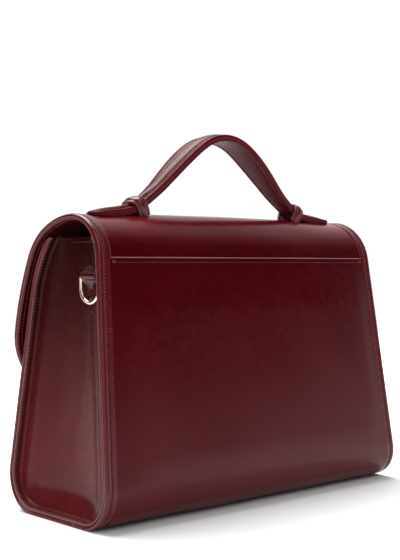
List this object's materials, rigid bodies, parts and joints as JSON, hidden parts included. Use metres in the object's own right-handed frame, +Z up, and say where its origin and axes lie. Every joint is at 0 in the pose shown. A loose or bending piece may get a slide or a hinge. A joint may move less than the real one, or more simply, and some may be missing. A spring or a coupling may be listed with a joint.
{
  "type": "satchel bag",
  "caption": "Structured leather satchel: tapered box body, dished gussets, rounded flap top, arched padded top handle, side D-rings, back slip pocket and magnetic flap closure.",
  "frame": {"origin": "on the table, under the middle of the bag", "axes": "+Z up, -Y towards the flap's front, +Y out of the pocketed back, +X to the wearer's viewer right seen from the front"},
  "size_m": [0.3, 0.1196, 0.2744],
  "materials": {
    "panel_leather": "smooth, glossy",
    "gusset_leather": "smooth, glossy, soft",
    "trim_leather": "smooth, glossy, painted edges",
    "handle_leather": "smooth, glossy, padded",
    "padding": "dense felt",
    "board": "matt fibre board",
    "lining_leather": "soft matt microfibre",
    "pale_gold": "polished pale rose gold",
    "washer_steel": "plain"
  },
  "bodies": {
    "bag": {"back_panel": "panel_leather", "front_panel": "panel_leather", "base_panel": "panel_leather", "back_pocket_panel": "panel_leather", "gusset_left": "gusset_leather", "gusset_right": "gusset_leather", "back_edge_strip_left": "trim_leather", "back_edge_strip_right": "trim_leather", "d_ring_tab_left": "trim_leather", "d_ring_tab_right": "trim_leather", "back_board": "board", "front_board": "board", "base_board": "board", "body_lining": "lining_leather", "gusset_lining_left": "lining_leather", "gusset_lining_right": "lining_leather", "inner_slip_pocket": "lining_leather", "snap_socket": "pale_gold", "snap_socket_washer": "washer_steel"},
    "flap": {"flap_panel": "panel_leather", "flap_lining": "lining_leather", "flap_border_strip": "trim_leather", "flap_board": "board", "handle_reinforcement": "board", "keeper_left": "trim_leather", "keeper_right": "trim_leather", "handle_end_left": "handle_leather", "handle_end_right": "handle_leather", "snap_stud": "pale_gold", "snap_stud_washer": "washer_steel"},
    "handle": {"handle_cover": "handle_leather", "handle_core": "padding", "handle_lining": "handle_leather"},
    "ring_right": {"d_ring_right": "pale_gold"},
    "ring_left": {"d_ring_left": "pale_gold"}
  },
  "joints": [
    {"name": "flap_open", "type": "hinge", "parent": "bag", "child": "flap", "pos_m": [0, 0.02994, 0.19986], "axis": [-1, 0, 0], "range_deg": [0, 135]},
    {"name": "handle_tilt", "type": "hinge", "parent": "flap", "child": "handle", "pos_m": [0, 0.0046, 0.2225], "axis": [1, 0, 0], "range_deg": [-40, 40]},
    {"name": "ring_right_swing", "type": "hinge", "parent": "bag", "child": "ring_right", "pos_m": [0.13318, 0.0206, 0.16782], "axis": [0, -1, 0], "range_deg": [0, 160]},
    {"name": "ring_left_swing", "type": "hinge", "parent": "bag", "child": "ring_left", "pos_m": [-0.13318, 0.0206, 0.16782], "axis": [0, 1, 0], "range_deg": [0, 160]}
  ]
}
